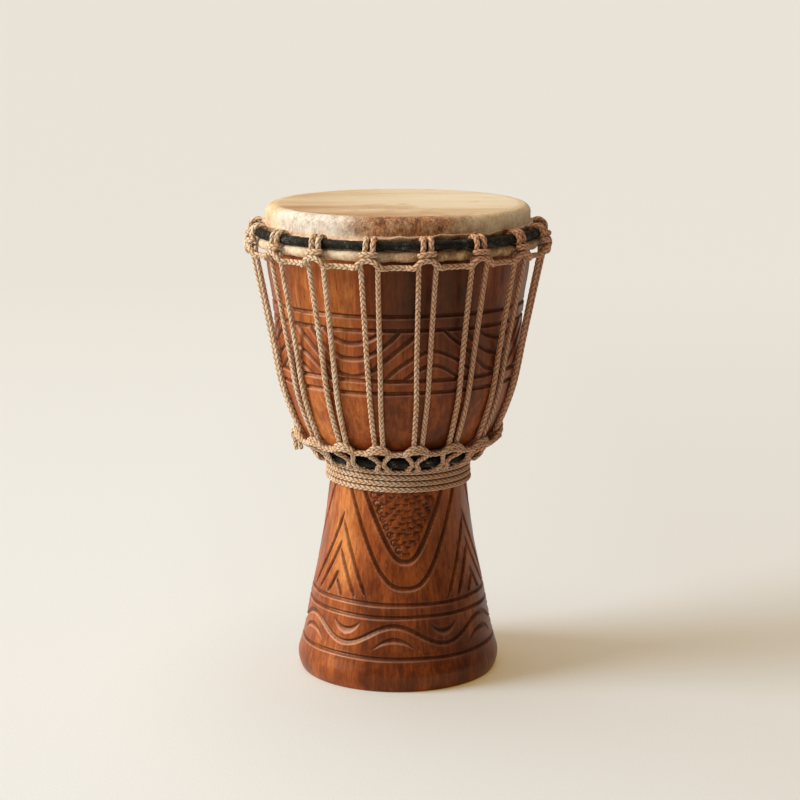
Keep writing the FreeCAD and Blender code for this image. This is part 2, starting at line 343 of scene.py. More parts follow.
def carve_stem(carving):
    """U shapes with a chip-cut field, chevrons between them, and the foot's waves."""
    for height in STEM_GROOVES:
        carving.turned_groove(height, 3.8, 1.7)
    for centre in U_CENTRES:
        carving.groove(symmetric(OUTER_U), 4.4, 2.1, shift=centre)
        carving.groove(symmetric(INNER_U), 4.8, 2.2, shift=centre)
    for axis in CHEVRON_AXES:
        outer_side = math.copysign(1.0, axis)
        for tip, reach in CHEVRONS:
            for side in (-1, 1):
                top = tip + (7.0 if side == outer_side else 0.0)
                arm = smooth_line([(0.4 * side - 1.2 * outer_side * (top > tip), top),
                                   (side * reach * 0.48, (tip + CHEVRON_FOOT) / 2 + 1.5),
                                   (side * reach, CHEVRON_FOOT)])
                carving.groove(arm, 4.2, 2.0, taper=0.14, shift=axis + 2.0)
    turn = np.arange(0, 360.1, 3.0)
    sway = turn - 5.0 * np.sin(np.radians(turn))
    wave = 47.4 + 8.2 * np.cos(np.radians(FOOT_REPEATS * (sway + 2)))
    carving.groove(np.stack([turn, wave], axis=-1), 4.6, 1.6)
    for number in range(FOOT_REPEATS):
        crest = -2.0 + 360 / FOOT_REPEATS * number
        crest += 4.6 * math.sin(math.radians(crest))
        trough = 28.0 + 360 / FOOT_REPEATS * number
        trough += 4.6 * math.sin(math.radians(trough))
        carving.groove(symmetric(FOOT_BOWL), 6.4, 1.7, taper=0.5, shift=trough)
        carving.groove(symmetric(FOOT_HILL), 5.0, 1.5, taper=0.45, shift=crest)


def chip_field(carving):
    """Scale-like gouge cuts inside each inner U, with a border row of small curls."""
    inside = np.array(INNER_U, float)
    for centre in U_CENTRES:
        offset = signed(np.degrees(carving.angle) - centre)
        half = np.interp(carving.height, inside[:, 1], inside[:, 0], left=0) - 3.4
        field = (np.abs(offset) < half) & (carving.height > 112)
        x = (np.radians(offset) * carving.radius)[field]
        z = carving.height[field]
        scoops, dark = np.zeros(len(x)), np.zeros(len(x))
        for row in range(CHIP_ROWS):
            for column in range(-(CHIP_COLUMNS // 2), CHIP_COLUMNS // 2 + 1):
                cx = CHIP_STEP * (column + 0.5 * (row % 2)) + rng.normal() * 0.6
                cz = 115.0 + CHIP_RISE * row + 0.02 * cx * cx + rng.normal() * 0.6
                across = (x - cx - 0.3 * (z - cz)) / (3.2 + rng.uniform(-0.7, 0.5))
                below = cz + 1.1 * across ** 2 - z
                share = np.sqrt(np.clip(1 - across ** 2, 0, 1)) * (below > 0)
                strength = rng.uniform(0.6, 1.4)
                scoops = np.maximum(scoops, strength * share * np.clip(1 - below / 3.6, 0, 1))
                # dark: stain with painted shade along the steep upper edge of each scoop
                stain_and_shade = min(1.0, 1.2 * strength) * share
                dark = np.maximum(dark, stain_and_shade * np.clip(1.3 - below / 1.9, 0, 1))
        edge = smooth_step(0.0, 2.0, (half - np.abs(offset))[field])
        carving.depth[field] = np.maximum(carving.depth[field], edge * (0.3 + 1.3 * scoops))
        carving.dark[field] = np.maximum(carving.dark[field], edge * dark)
        for step in range(9):
            level = 117.0 + 6.4 * step
            side = 5.8 - np.interp(level, inside[:, 1], inside[:, 0])
            turn = np.radians(np.arange(50, 331, 40))
            curl = np.stack([side + 2.3 * np.cos(turn), level + 2.6 * np.sin(turn)], axis=-1)
            carving.groove(curl, 2.1, 1.3, shift=centre)


# degrees, width, and paleness on the stem, the low bowl and the high bowl: painted light on the left,
# painted shade at the front and right, and tone of the wood towards the back
LIGHT_AND_TONE_PATCHES = [(-50, 22, 0.12, 0.08, 0.18), (-24, 12, 0.0, 0.02, 0.11), (2, 12, 0.0, -0.06, -0.22),
                (25, 18, -0.04, -0.11, -0.20), (55, 25, -0.05, -0.05, -0.06), (105, 14, 0.05, 0.05, 0.05),
                (140, 28, 0.09, 0.09, 0.09), (-115, 30, -0.05, -0.05, -0.05),
                (-165, 20, -0.10, -0.10, -0.10)]


def paleness(angle, height):
    """Where paler and darker wood shows round the drum: painted light on its left, painted shade at its
    front and right, and some tone of the wood.
    """
    turn = np.degrees(angle) + 0.01 * (height - 200)
    on_bowl, on_top = smooth_step(190, 205, height), smooth_step(285, 330, height)
    total = np.zeros(angle.shape)
    for middle, width, stem, low, high in LIGHT_AND_TONE_PATCHES:
        offset = signed(turn - middle)
        amount = stem + (low - stem) * on_bowl + (high - low) * on_top
        total += amount * np.exp(-(offset / width) ** 2)
    total -= 0.07 * (1 - smooth_step(70, 95, height)) * (1 - np.exp(-((turn + 75) / 45) ** 2))
    # painted shade: the wood under the lower ring and its hitches is darker
    return total - 0.3 * smooth_step(172, 182, height) * (1 - smooth_step(200, 207, height))


def paint_wood(thing, carving, hidden_rows):
    """Attributes for the wood's material; the hidden rows, the hollow's, come last."""
    hidden = np.ones((hidden_rows, carving.angle.shape[1]))
    # painted highlight on the cuts' lower lips, stronger on the left where the light falls, none in deep
    # cuts
    worn = np.clip(carving.light, 0, 1) * (0.6 + 0.4 * np.cos(carving.angle + 0.9))
    worn = worn * (1 - smooth_step(0.2, 1.2, carving.depth))
    add_attributes(thing, cut=carving.dark, ridge=worn, pale=paleness(carving.angle, carving.height),
                   inside=np.vstack([np.zeros(carving.depth.shape), hidden]))


def profile(radius, first, last, step):
    """Outline points at even heights."""
    return [(float(radius(z)), float(z)) for z in np.arange(first, last, step)]


def uneven_hollow(carving, rows, slope, seed, waves, size):
    """Hand-cut unevenness of the hollow; its last row meets the other mesh."""
    slanted = np.tile(carving.angle[:1], (rows, 1)) + slope * np.arange(rows)[:, None]
    hollow = wander(slanted, seed, waves, size)
    hollow[-1] = 0
    return hollow


def build_wood():
    """The shell in two meshes that meet under the lower ring, both hollow."""
    stem_radius, bowl_radius = natural_spline(STEM), natural_spline(BOWL)
    chamber = natural_spline(CHAMBER)

    # stem and foot
    outer = [(83.4, 0.0)] + arc((83.4, 0.0), (85.0, 3.4), (86.2, 14.0), 7)
    for part in ((14.0, 25.0, 2.2), (25.0, 80.0, 0.66), (80.0, 172.0, 0.8)):
        outer += profile(stem_radius, *part)
    outer += [(WAIST, z) for z in (172.0, 178.0, 184.0, SEAM)]
    inner = [(PASSAGE, SEAM - 0.1), (PASSAGE, 170.0), (PASSAGE, 150.0)]
    inner += arc((PASSAGE, 150.0), (51.5, 70.0), (70.0, 0.0), 16) + [(70.0, 0.0), (76.0, 0.0)]
    carving = Carving(outer, STEM_COLUMNS)
    carve_stem(carving)
    chip_field(carving)
    push = carving.push() + wander(carving.angle + 0.02 * carving.height, 5, (2, 3, 5, 8), 0.12)
    push[:FOOT_ROWS] = np.minimum(push[:FOOT_ROWS], 0)
    hollow = uneven_hollow(carving, len(inner), 0.03, 8, (4, 9, 14), 0.35)
    grid = turned(outer + inner, STEM_COLUMNS, np.vstack([push, hollow]))
    stem = add_grid("wood_stem", grid, close_rows=True)
    paint_wood(stem, carving, len(inner))

    # bowl
    outer = [(WAIST, SEAM), (WAIST, 192.0)] + arc((WAIST, 192.0), (58.6, 196.7), (61.4, 198.0), 4)
    outer += [(61.4, 198.0), (67.0, 198.6), (72.5, 199.2)]
    outer += arc((72.5, 199.2), (75.8, 200.8), BOWL[0], 4)
    for part in ((203.6, 254.0, 3.0), (254.2, 325.0, 0.66), (325.5, 391.0, 4.0)):
        outer += profile(bowl_radius, *part)
    outer += [MOUTH] + arc(MOUTH, (107.2, 396.2), (102.6, 398.6), 4) + [(102.6, 398.6), (98.6, 396.4)]
    heights = (385, 360, 330, 300, 280, 260, 245, 232, 222, 214, 208)
    inner = [(float(chamber(z)), float(z)) for z in heights] + [CHAMBER[0]]
    inner += arc(CHAMBER[0], (46.5, 197.0), (PASSAGE, 186.0), 5) + [(PASSAGE, SEAM - 0.1)]
    carving = Carving(outer, BOWL_COLUMNS)
    carve_bowl(carving)
    push = carving.push()
    for low, high in ((BOWL_GROOVES[1], BOWL_GROOVES[0]), (BOWL_GROOVES[3], BOWL_GROOVES[2])):
        middle, half = (low + high) / 2, (high - low) / 2
        swell = 0.5 * np.clip(1 - ((carving.height - middle) / half) ** 2, 0, 1)
        push = push + np.where(carving.depth < 0.3, swell, 0)
    free = smooth_step(205, 215, carving.height) * (1 - smooth_step(352, 366, carving.height))
    push = push + free * wander(carving.angle + 0.015 * carving.height, 6, (2, 3, 5, 9), 0.14)
    hollow = uneven_hollow(carving, len(inner), 0.05, 9, (5, 11, 17), 0.4)
    hollow[[0, -2]] = 0
    grid = turned(outer + inner, BOWL_COLUMNS, np.vstack([push, hollow]))
    bowl = add_grid("wood_bowl", grid, close_rows=True)
    paint_wood(bowl, carving, len(inner))
    return stem, bowl


# ---- skin and rings ----
def build_skin():
    """Goatskin: playing surface, furred side, ragged trimmed edge and the fold round the flesh ring."""
    columns = 900
    angle = round_angles(columns)
    ring_radius, ring_height, ring_wrap = FLESH_RING
    flat = [(r, 400.0) for r in (2, 8, 16, 26, 38, 50, 60, 69, 77, 84, 90, 95, 99, 101.5, 103.2)]
    edge = arc((103.2, 400.0), (108.7, 397.6), (110.4, 391.6), 7) + [(110.4, 391.6)]
    wall = [(110.4, z) for z in (390.6, 389.6, 388.6, 387.6, 386.6, 385.6)]
    lip = [(110.9, 385.0), (111.5, 385.3), (112.3, 385.2), (112.7, 384.4), (112.5, 382.6)]
    tuck = [(111.8, 379.4), (111.9, 376.0)]
    fold = [(ring_radius + ring_wrap * math.cos(t), ring_height + ring_wrap * math.sin(t))
            for t in np.radians(np.linspace(130, -100, 22))]
    back = [(112.4, 366.9), (110.9, 368.8), (109.6, 381.0), (109.3, 391.2)]
    back += arc((109.3, 391.2), (107.7, 396.6), (103.0, 398.9), 3)
    back += [(103.0, 398.9), (50.0, 398.9), (2.0, 398.9)]
    parts = {"flat": flat, "edge": edge, "wall": wall, "lip": lip, "tuck": tuck, "fold": fold, "back": back}
    outline, start = [], {}
    for name, points in parts.items():
        start[name] = len(outline)
        outline += points
    grid = turned(outline, columns)
    outward = np.stack([np.sin(angle), -np.cos(angle), np.zeros(columns)], axis=-1)

    # uneven side wall
    for row in range(start["edge"] + 3, start["lip"]):
        grid[row] += outward * (wander(angle, 31, (3, 5, 8, 13), 0.12)
                                + rng.normal(size=columns) * 0.05)[:, None]
    # ragged trimmed edge
    rise = wander(angle, 32, (3, 7, 11, 17, 23, 31, 43), 0.75)
    rise += 1.6 * np.exp(-((angle - 0.36) / 0.1) ** 2) + 1.3 * np.exp(-((angle - 0.62) / 0.07) ** 2)
    lean = wander(angle, 33, (5, 9, 19, 29, 37), 0.35)
    degrees = signed(np.degrees(angle))
    low = smooth_step(-66, -50, degrees) * (1 - smooth_step(-14, -5, degrees))
    for row in range(start["lip"], start["tuck"]):
        grid[row, :, 2] += np.clip(rise, -1.4, 2.2) * (1 - low) - 3.0 * low
        grid[row] += outward * np.clip(lean + 0.25, -0.3, 0.9)[:, None]
    # fold swells between the hitches and creases by them
    station = (angle / (2 * HALF_STEP)) % 1.0
    away = np.abs(station - 0.5) * 2
    swell = 0.65 * smooth_step(0.1, 0.5, away) - 0.35
    lumps = wander(angle, 34, (21, 33, 47, 61, 85), 0.28)
    for k, (r, z) in enumerate(fold):
        row = start["fold"] + k
        fine = wander(angle + 0.05 * k, 50 + k // 3, (60, 97, 140), 0.12)
        grow = np.clip(swell + lumps + fine, -0.7, 0.75) / ring_wrap
        grid[row] += outward * (grow * (r - ring_radius))[:, None]
        grid[row, :, 2] += grow * (z - ring_height)
    skin = add_grid("goatskin_head", grid, caps=True)

    # where each look of the skin shows
    fur, folded, trimmed, under = np.zeros((4, len(outline), columns))
    fur[:start["wall"]] = smooth_step(96.5, 107.5, np.array(outline)[:start["wall"], :1])
    fur[start["wall"]:start["lip"]] = 1.0
    folded[start["lip"]:] = 1.0
    trimmed[start["lip"]:start["lip"] + 3] = 1.0
    # painted shade on the tuck and the fold's top under the trimmed lip, weaker where the lip is low
    under[start["lip"] + 3:start["fold"] + 5] = 1.0 - 0.6 * low
    turn = np.tile(degrees, (len(outline), 1))
    white = smooth_step(-70, -52, turn) * (1 - smooth_step(-30, -8, turn))
    brown = smooth_step(-30, -6, turn) * (1 - smooth_step(14, 42, turn))
    # painted shade on the fold from the front round its right side, half as strong towards the back
    aged = smooth_step(-26, 14, turn) * (1 - 0.5 * smooth_step(70, 120, turn))
    add_attributes(skin, fur=fur, folded=folded, trimmed=trimmed, under=under,
                   white=white, brown=brown, aged=aged)
    return skin


def build_wrap(name, ring, strips, columns, seed):
    """Cloth strip wound round a steel ring, each turn lapping over the last."""
    radius, height, tube = ring
    around = 28
    angle, turns = round_angles(columns), round_angles(around)
    lap = np.zeros((around, columns))
    for k, t in enumerate(turns):
        phase = ((strips * angle + t) / (2 * math.pi) + 0.18 * np.sin(t + 3 * angle)) % 1.0
        lap[k] = 0.42 * phase - 0.5 * np.exp(-(np.minimum(phase, 1 - phase) / 0.05) ** 2)
    dice = np.random.default_rng(seed)
    rough = dice.normal(size=(around, columns)) * 0.05
    lumps = np.stack([wander(angle + 0.3 * t, seed, (7, 19, 31, 53), 0.12) for t in turns])
    size = tube + np.clip(lap + rough + lumps - 0.15, -0.6, 0.5)
    reach = radius + size * np.cos(turns)[:, None]
    points = np.stack([reach * np.sin(angle), -reach * np.cos(angle),
                       height + size * np.sin(turns)[:, None]], axis=-1)
    thing = add_grid(name, points[::-1], close_rows=True)
    add_attributes(thing, lap=lap[::-1])
    return thing


# ---- rope ----
PLAIT = 4.8                    # length of one plait cell
STRANDS = 4                    # strands that turn each way


def at(across, radius, height, turn=0.0):
    """Point at a distance across, measured along the circle from the front."""
    angle = turn + across / radius
    return (radius * math.sin(angle), -radius * math.cos(angle), height)


def mirrored(half):
    """Whole route from the half that starts at the station's centre."""
    return [(-across, radius, height) for across, radius, height in reversed(half[1:])] + half


def smooth_route(points, closed):
    """Smooth line of the rope through its route, as Blender's NURBS spline gives it."""
    data = bpy.data.curves.new("route", "CURVE")
    data.dimensions = "3D"
    spline = data.splines.new("NURBS")
    spline.points.add(len(points) - 1)
    for slot, point in zip(spline.points, points):
        slot.co = (*point, 1.0)
    spline.order_u = 3
    spline.use_cyclic_u = closed
    spline.use_endpoint_u = not closed
    spline.resolution_u = 10
    thing = bpy.data.objects.new("route", data)
    bpy.context.scene.collection.objects.link(thing)
    bpy.context.view_layer.update()
    mesh = bpy.data.meshes.new_from_object(thing)
    line = np.array([vertex.co for vertex in mesh.vertices], float)
    bpy.data.objects.remove(thing)
    bpy.data.curves.remove(data)
    bpy.data.meshes.remove(mesh)
    return line


def evenly(line, step, closed):
    """The same line with even steps."""
    if closed:
        line = np.vstack([line, line[:1]])
    walked = np.concatenate([[0.0], np.cumsum(np.linalg.norm(np.diff(line, axis=0), axis=1))])
    count = max(4, int(round(walked[-1] / step)))
    places = np.linspace(0, walked[-1], count + 1)
    if closed:
        places = places[:-1]
    return np.stack([np.interp(places, walked, line[:, k]) for k in range(3)], axis=-1), walked[-1]


def soften(vectors, closed, times):
    """Average neighbouring vectors."""
    for _ in range(times):
        before, after = np.roll(vectors, 1, axis=0), np.roll(vectors, -1, axis=0)
        if not closed:
            before[0], after[-1] = vectors[0], vectors[-1]
        vectors = (before + 2 * vectors + after) / 4
    return vectors


def unit(vectors):
    return vectors / np.maximum(np.linalg.norm(vectors, axis=-1, keepdims=True), 1e-9)


def tangents(line, closed):
    """Directions along a line."""
    if closed:
        return unit(np.roll(line, -1, axis=0) - np.roll(line, 1, axis=0))
    return unit(np.gradient(line, axis=0))


def facing_out(line, along, closed):
    """Side vectors turned away from the drum's axis."""
    out = unit(line * [1, 1, 0])
    out = out - along * (out * along).sum(1, keepdims=True)
    out = soften(out, closed, 8)
    return unit(out - along * (out * along).sum(1, keepdims=True))


def carried(along):
    """Side vectors carried along an open line without twisting."""
    first = np.cross(along[0], [0.0, 0.0, 1.0])
    if np.linalg.norm(first) < 0.2:
        first = np.cross(along[0], [1.0, 0.0, 0.0])
    side = [first / np.linalg.norm(first)]
    for ahead in along[1:]:
        last = side[-1] - ahead * np.dot(side[-1], ahead)
        side.append(last / np.linalg.norm(last))
    return np.array(side)


def plait_height(around, cells):
    """0 between the strands of a round plait that go over two and under two, 1 on top of them."""
    a = STRANDS * around + cells
    b = STRANDS * around - cells
    fa, fb = a % 1.0, b % 1.0
    order = (np.floor(a) + np.floor(b)) % 4
    across, along = np.where(order < 2, fa, fb), np.where(order < 2, fb, fa)
    ends = np.sin(math.pi * (along + order % 2) / 2)
    return np.sin(math.pi * across) ** 0.6 * (0.4 + 0.6 * ends ** 0.6)


def rope_grid(route, radius, sides, step, closed=False, facing="out"):
    """Grid of points and plait coordinates of one rope."""
    line, length = evenly(smooth_route(route, closed), step, closed)
    if not closed:
        line = soften(line, False, 2)
    along = tangents(line, closed)
    side = facing_out(line, along, closed) if facing == "out" else carried(along)
    other = np.cross(along, side)
    cells = max(1, round(length / PLAIT)) if closed else length / PLAIT
    place = np.arange(len(line)) / (len(line) if closed else len(line) - 1) * cells
    around = np.arange(sides) / sides
    around_front = around + 1 / (4 * STRANDS)
    height = plait_height(around_front[None, :], place[:, None])
    size = radius * (0.80 + 0.24 * height)
    if not closed:
        end = np.minimum(np.arange(len(line)), np.arange(len(line))[::-1]) * step
        size = size * np.sqrt(np.clip(1 - (1 - np.clip(end / radius, 0.0, 1)) ** 2, 0.02, 1))[:, None]
    turn = 2 * math.pi * around
    points = line[:, None, :] + size[..., None] * (
        np.cos(turn)[None, :, None] * side[:, None, :] + np.sin(turn)[None, :, None] * other[:, None, :])
    return points, place


def add_rope(name, routes, radius, sides=16, step=0.5, closed=False, facing="out"):
    """One object from one or more ropes."""
    things = []
    for route in routes:
        points, place = rope_grid(route, radius, sides, step, closed, facing)
        cells = np.append(place, 2 * place[-1] - place[-2]) if closed else place
        things.append(add_grid(name, points, (cells, 1 / (4 * STRANDS)), closed, caps=not closed))
    if len(things) > 1:
        with bpy.context.temp_override(active_object=things[0], object=things[0],
                                       selected_objects=things, selected_editable_objects=things):
            bpy.ops.object.join()
    things[0].name = name
    return things[0]


def all_round(half, end, loose=0.0, seed=0):
    """Closed route of a rope that repeats at every station, with a little unevenness."""
    radius, height = end
    dice = np.random.default_rng(seed)
    route = []
    for number in range(STATIONS):
        turn = HALF_STEP * (2 * number + 1)
        shift = dice.normal() * loose
        for across, r, z in mirrored(half):
            wobble = dice.normal(size=2) * loose * 0.35
            route.append(at(across + shift + wobble[0], r, z + wobble[1], turn))
        for share in (0.62, 1.0, 1.38):
            route.append(at(HALF_STEP * radius * share, radius, height + dice.normal() * loose * 0.4, turn))
    return route


VERTICAL = [(0, 121.9, 366.8), (4.4, 122.1, 367.2), (6.8, 123.0, 366.2), (7.1, 123.0, 362.6),
            (6.7, 121.4, 356.0), (5.3, 106.6, 284.0), (5.0, 104.3, 270.0),
            (4.6, 100.3, 250.0), (4.0, 93.5, 230.0), (3.4, 85.7, 212.0), (3.2, 83.8, 207.6),
            (6.0, 81.4, 203.6)]
CROWN_LOOP = [(0, 127.0, 368.2), (3.6, 127.2, 368.0), (7.6, 127.4, 365.0), (10.8, 125.6, 361.8),
              (14.5, 122.4, 362.0)]
TIE_ROPE = [(0, 88.2, 209.6), (4.6, 88.0, 209.2), (10.0, 86.0, 204.2)]


def round_ring(ring, degrees, across):
    """Route point of a hitch at an angle round a ring's section; 0 faces outwards, 90 up."""
    radius, height, tube = ring
    reach = (tube + SNUG) / math.cos(math.radians(15))
    angle = math.radians(degrees)
    return across, radius + reach * math.cos(angle), height + reach * math.sin(angle)


def over_ring(ring, degrees, spread):
    """Half of a hitch strand's way round its ring; the first place is crossed from strand to strand."""
    half = [round_ring(ring, angle, spread) for angle in degrees]
    return [(0, *half[0][1:])] + half


def add_hitch(name, loop, bar, radius):
    hitch = add_rope(name + "_rope", [loop, bar], radius, sides=12, step=0.7, facing="carried")
    fit(hitch, rope, "rope", name)


def build_crown_hitches():
    """Hitches on the crown ring: two strands over the ring and a bar across them."""
    for number in range(STATIONS):
        turn = HALF_STEP * (2 * number + 1)
        skew, spread = rng.normal() * 0.35, 3.0 + rng.uniform(-0.15, 0.3)
        half = over_ring(CROWN_RING, range(180, -1, -30), spread)
        half += [(spread + 0.1, 123.8, 375.0), (spread + 0.3, 123.4, 371.0)]
        loop = [at(across + skew * (z - 372) / 8, r, z, turn) for across, r, z in mirrored(half)]
        tilt = rng.normal() * 0.5
        bar = mirrored([(0, 127.4, 373.0), (3.6, 127.2, 372.9), (6.2, 125.6, 372.6), (6.6, 123.4, 372.2)])
        bar = [at(across, r, z + tilt * across / 6, turn) for across, r, z in bar]
        add_hitch("crown_hitch_%02d" % (number + 1), loop, bar, 2.35)


def build_lower_hitches():
    """Hitches on the lower ring: two arms from the tie rope and two strands round the ring."""
    for number in range(STATIONS):
        turn = HALF_STEP * (2 * number + 1)
        spread = 4.2 + rng.uniform(-0.3, 0.4)
        half = over_ring(LOWER_RING, range(-180, -29, 30), spread)
        half += [(1.9, 72.4, 190.4), (1.7, 73.8, 193.4), (4.2, 76.8, 197.2),
                 (7.6, 82.4, 200.2), (8.6, 86.0, 203.2)]
        loop = [at(across, r, z, turn) for across, r, z in mirrored(half)]
        bar = mirrored([(0, 88.3, 205.9), (5.0, 88.1, 205.5), (9.8, 86.4, 203.4), (12.6, 84.6, 202.4)])
        bar = [at(across, r, z, turn) for across, r, z in bar]
        add_hitch("lower_hitch_%02d" % (number + 1), loop, bar, 2.05)


def waist_route():
    """The spare rope wound round the waist; both ends rise to the lower ring at the back."""
    start = math.radians(171)
    route = [at(-5.2, 60.0, 188.0, start), at(-3.8, 60.0, 185.4, start)]
    turns, sides, pitch = 4, 24, 4.93
    for step in range(turns * sides - 1):
        height = 185.2 - pitch * step / sides
        flare = 0.085 * max(0.0, 174.0 - height)
        turn = start + 2 * math.pi * step / sides
        route.append(at(0, (59.75 + flare) / math.cos(math.pi / sides), height, turn))
    tuck = [(-15.0, 60.9, 165.4), (-11.0, 63.7, 166.4), (-8.0, 65.0, 170.4), (-4.0, 64.6, 178.4),
            (-2.5, 64.6, 184.8)]
    return route + [at(across, radius, height, start) for across, radius, height in tuck]


def knot_routes():
    """Knot in the tie rope: two turns round it and the two cut ends hanging below."""
    turn = math.radians(-95.3)
    coil = []
    turns, sides = 2, 8
    for step in range(turns * sides + 1):
        angle = 2 * math.pi * step / sides
        radius, height = 87.0 + 3.8 * math.cos(angle), 201.4 + 4.2 * math.sin(angle)
        coil.append(at(-3.0 + 0.38 * step, radius, height, turn))
    first = [(-2.6, 88.4, 202.0), (-3.2, 90.0, 195.0), (-2.8, 87.6, 185.4)]
    second = [(2.4, 84.2, 202.0), (2.2, 84.6, 194.6), (1.4, 83.0, 186.8)]
    return [coil] + [[at(*point, turn) for point in end] for end in (first, second)]


# ---- materials ----
def rgb(*shown):
    """Linear colour from red, green and blue display values, 0 to 255."""
    return tuple(((c / 255 + 0.055) / 1.055) ** 2.4 if c > 10 else c / 3295 for c in shown) + (1.0,)


class Shader:
    """Nodes of a material or a world; most methods add a node and give back its output."""

    def __init__(self, owner, place="Object"):
        owner.use_nodes = True
        self.owner = owner
        self.tree = owner.node_tree
        self.place = self.node("ShaderNodeTexCoord").outputs[place]

    def feed(self, socket, value):
        """Set an input, or link it if the value is another node's output."""
        if isinstance(value, bpy.types.NodeSocket):
            self.tree.links.new(value, socket)
        else:
            socket.default_value = value

    def node(self, kind, inputs=None, **settings):
        """The node itself, with inputs given by name or number."""
        made = self.tree.nodes.new(kind)
        for key, value in settings.items():
            setattr(made, key, value)
        for key, value in (inputs or {}).items():
            self.feed(made.inputs[key], value)
        return made

    def calc(self, operation, *values):
        return self.node("ShaderNodeMath", dict(enumerate(values)), operation=operation).outputs[0]

    def add(self, first, *others):
        for other in others:
            first = self.calc("ADD", first, other)
        return first

    def times(self, first, second):
        return self.calc("MULTIPLY", first, second)

    def remap(self, value, *ends):
        """Value carried from one range (low, high) to another, kept inside it."""
        return self.node("ShaderNodeMapRange", dict(enumerate((value, *ends)))).outputs[0]

    def mix(self, share, first, second):
        """First number to second."""
        return self.node("ShaderNodeMix", {0: share, 2: first, 3: second}, data_type="FLOAT").outputs[0]

    def blend(self, share, first, second):
        """First colour to second."""
        return self.node("ShaderNodeMix", {0: share, 6: first, 7: second}, data_type="RGBA").outputs[2]

    def ramp(self, share, *stops):
        """Colour from stops of (place, red, green, blue)."""
        made = self.node("ShaderNodeValToRGB", {0: share})
        elements = made.color_ramp.elements
        while len(elements) < len(stops):
            elements.new(0.5)
        for element, (place, *colour) in zip(elements, stops):
            element.position = place
            element.color = rgb(*colour)
        return made.outputs[0]

    def noise(self, scale, detail, rough, stretch=(1, 1, 1), turn=(0, 0, 0)):
        mapped = self.node("ShaderNodeMapping", {"Vector": self.place, "Scale": stretch, "Rotation": turn})
        return self.node("ShaderNodeTexNoise", {"Vector": mapped.outputs[0], "Scale": scale,
                                                "Detail": detail, "Roughness": rough}).outputs[0]

    def split(self, vector):
        return self.node("ShaderNodeSeparateXYZ", {0: vector}).outputs

    def attribute(self, name):
        return self.node("ShaderNodeAttribute", attribute_name=name).outputs["Fac"]

    def bump(self, height, strength, distance):
        return self.node("ShaderNodeBump", {"Height": height, "Strength": strength,
                                            "Distance": distance}).outputs[0]

    def surface(self, colour, roughness, **others):
        """Give these to the surface shader and give back the material."""
        others.update(Base_Color=colour, Roughness=roughness)
        for name, value in others.items():
            self.feed(self.tree.nodes["Principled BSDF"].inputs[name.replace("_", " ")], value)
        return self.owner


def wood_material():
    """Oiled mahogany-coloured hardwood, grain up the drum, dark in the cuts with stain and painted shade,
    painted highlights on their lower lips, and painted light and shade by side.
    """
    m = Shader(bpy.data.materials.new("carved_wood"))
    streaks = m.noise(300, 6, 0.65, (1, 1, 0.04))
    broad = m.noise(30, 3, 0.5, (1, 1, 0.22))
    fine = m.noise(800, 4, 0.6, (1, 1, 0.03))
    mottle = m.noise(60, 5, 0.6, (1, 1, 0.8))
    tone = m.add(m.times(streaks, 0.48), m.times(broad, 0.55), m.times(mottle, 0.36), -0.205)
    # painted light on the left and painted shade at the front and right, with some tone of the wood
    tone = m.add(tone, m.attribute("pale"))
    colour = m.ramp(tone, (0.16, 50, 19, 6), (0.38, 106, 46, 17), (0.55, 158, 80, 33), (0.80, 220, 142, 76))
    colour = m.blend(m.remap(fine, 0.56, 0.66, 0.0, 0.5), colour, rgb(58, 24, 10))
    # dark in the cuts: stain with painted shade
    colour = m.blend(m.remap(m.attribute("cut"), 0.1, 1.0, 0.0, 0.94), colour, rgb(30, 9, 3))
    # painted highlight: pinkish colour on the cuts' lower lips
    ridge = m.times(m.remap(m.attribute("ridge"), 0.2, 1.0, 0.0, 0.52), m.times(mottle, 1.5))
    colour = m.blend(ridge, colour, rgb(226, 172, 148))
    inside = m.attribute("inside")
    colour = m.blend(inside, colour, m.ramp(streaks, (0.3, 120, 82, 50), (0.7, 176, 134, 90)))
    shine = m.add(m.remap(mottle, 0.3, 0.7, 0.3, 0.46), m.times(inside, 0.3))
    relief = m.add(m.times(streaks, 0.6), m.times(fine, 0.4))
    return m.surface(colour, shine, Normal=m.bump(relief, 0.35, 0.0006),
                     Specular_IOR_Level=0.38, Specular_Tint=(1.0, 0.72, 0.5, 1.0))


